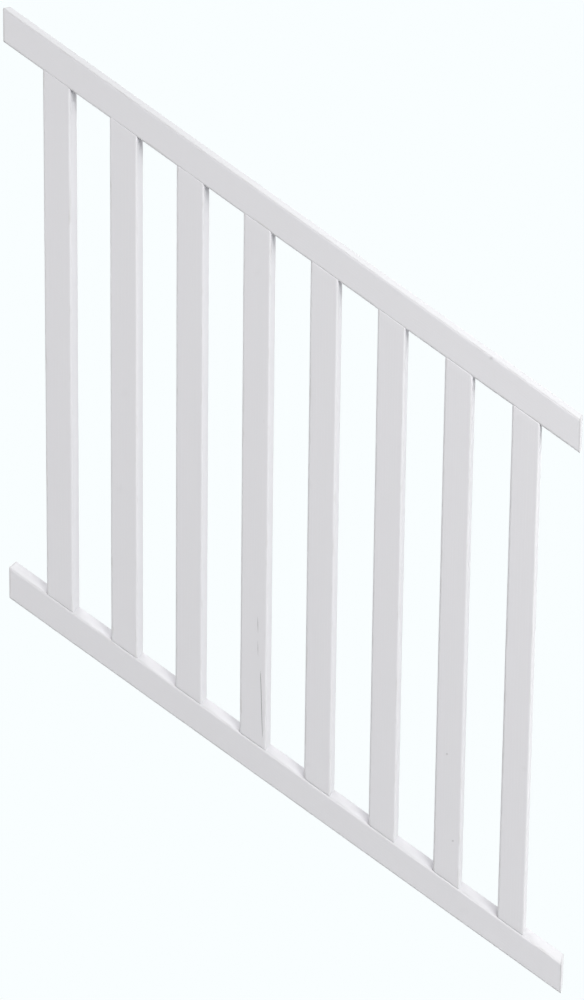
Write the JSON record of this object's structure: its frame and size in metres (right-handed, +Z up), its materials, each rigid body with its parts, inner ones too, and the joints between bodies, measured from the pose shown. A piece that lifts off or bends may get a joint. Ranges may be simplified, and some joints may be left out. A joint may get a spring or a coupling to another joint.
{
  "type": "stair railing panel",
  "caption": "Raked stair railing panel: a top and a bottom timber rail with plumb-cut ends, and square plumb balusters tenoned between them, painted white.",
  "frame": {"origin": "centre of the bottom rail's upper end face", "axes": "+X level, from the upper post to the lower one, +Y through the panel's depth, +Z up"},
  "size_m": [0.79, 0.038, 1.344],
  "materials": {
    "rail_paint": "satin white paint, brushed along the rail",
    "baluster_paint": "satin white paint, brushed along the baluster"
  },
  "bodies": {
    "root": {"top_rail": "rail_paint", "bottom_rail": "rail_paint", "baluster_1": "baluster_paint", "baluster_2": "baluster_paint", "baluster_3": "baluster_paint", "baluster_4": "baluster_paint", "baluster_5": "baluster_paint", "baluster_6": "baluster_paint", "baluster_7": "baluster_paint", "baluster_8": "baluster_paint"}
  },
  "joints": []
}
